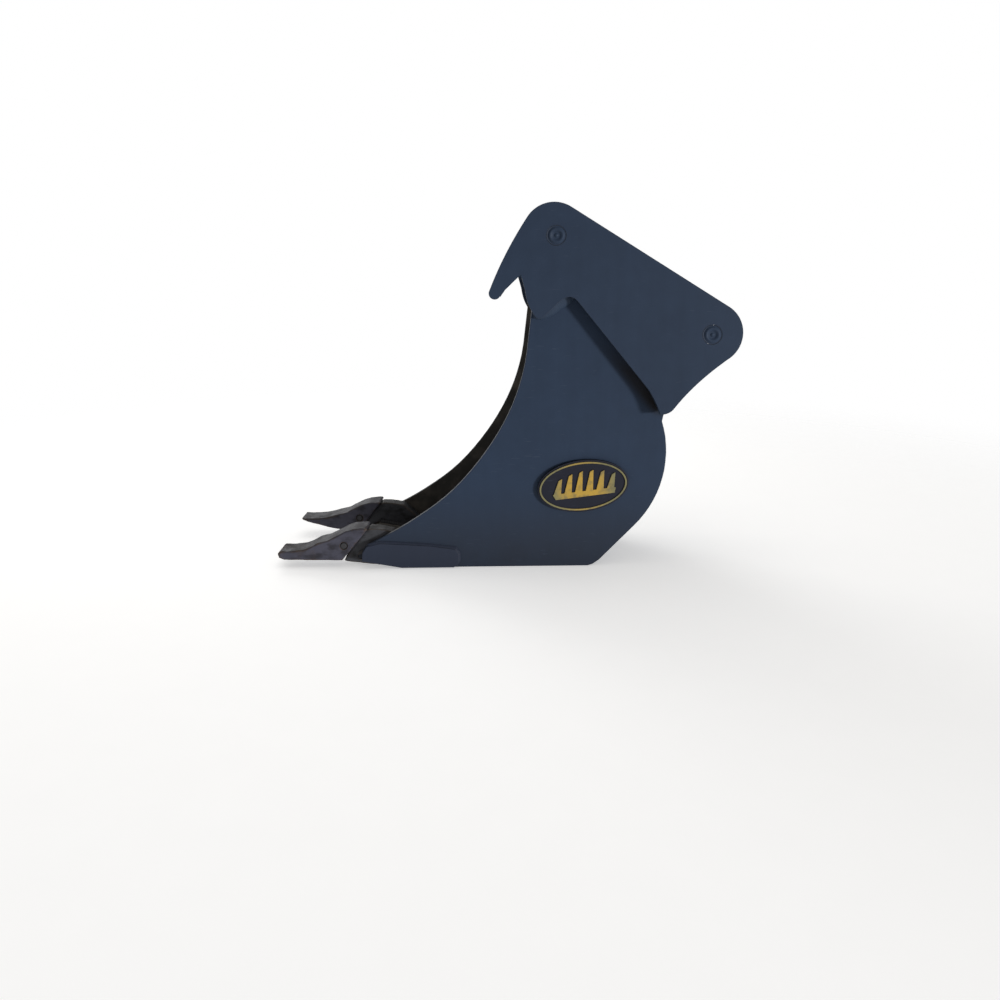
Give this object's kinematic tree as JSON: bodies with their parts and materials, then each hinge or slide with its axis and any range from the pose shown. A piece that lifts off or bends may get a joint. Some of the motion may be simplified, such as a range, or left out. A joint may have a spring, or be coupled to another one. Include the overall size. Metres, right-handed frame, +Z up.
{
  "type": "excavator bucket",
  "caption": "Narrow trenching bucket for an excavator: tapered side plates, rolled back, toothed lip, and ear plates with cross pins for a quick hitch.",
  "frame": {"origin": "middle of the bounding box, on the plane of the floor underside", "axes": "+Z up, teeth point to -X, +X towards the back and the rear hitch pin, Y across the bucket, and the pins are withdrawn towards +Y"},
  "size_m": [1.1084, 0.3516, 0.8733],
  "materials": {
    "body_paint": "satin dark blue-grey paint",
    "lower_paint": "worn satin dark blue-grey paint",
    "tooth_paint": "thin grey paint, worn and browned at the edges",
    "lock_steel": "dull steel",
    "badge_black": "black satin",
    "badge_yellow": "yellow gloss",
    "bolt_steel": "plated steel"
  },
  "bodies": {
    "bucket": {"floor_plate": "body_paint", "heel_plate": "body_paint", "back_plate": "body_paint", "top_plate": "body_paint", "hitch_back_plate": "body_paint", "neck_stiffener": "body_paint", "side_plate_left": "body_paint", "side_plate_right": "body_paint", "ear_plate_left": "body_paint", "ear_plate_right": "body_paint", "ear_packer_left": "body_paint", "ear_packer_right": "body_paint", "hitch_gusset_left": "body_paint", "hitch_gusset_right": "body_paint", "lip_plate": "lower_paint", "lip_wing_left": "lower_paint", "lip_wing_right": "lower_paint", "tooth_adapter_left": "lower_paint", "tooth_adapter_right": "lower_paint", "tooth_tip_left": "tooth_paint", "tooth_tip_right": "tooth_paint", "badge_backing_left": "badge_black", "badge_backing_right": "badge_black", "badge_ring_left": "badge_yellow", "badge_ring_right": "badge_yellow", "badge_emblem_left": "badge_yellow", "badge_emblem_right": "badge_yellow"},
    "front_pin": {"hitch_pin_front": "body_paint", "pin_flag_front": "body_paint", "keeper_bolt_front": "bolt_steel"},
    "rear_pin": {"hitch_pin_rear": "body_paint", "pin_flag_rear": "body_paint", "keeper_bolt_rear": "bolt_steel"},
    "left_lock_pin": {"tooth_lock_pin_left": "lock_steel"},
    "right_lock_pin": {"tooth_lock_pin_right": "lock_steel"}
  },
  "joints": [
    {"name": "front_pin_slide", "type": "slide", "parent": "bucket", "child": "front_pin", "axis": [0, 1, 0], "range_m": [0, 0.35]},
    {"name": "rear_pin_slide", "type": "slide", "parent": "bucket", "child": "rear_pin", "axis": [0, 1, 0], "range_m": [0, 0.35]},
    {"name": "left_lock_pin_slide", "type": "slide", "parent": "bucket", "child": "left_lock_pin", "axis": [0, -1, 0], "range_m": [0, 0.08]},
    {"name": "right_lock_pin_slide", "type": "slide", "parent": "bucket", "child": "right_lock_pin", "axis": [0, 1, 0], "range_m": [0, 0.08]}
  ]
}
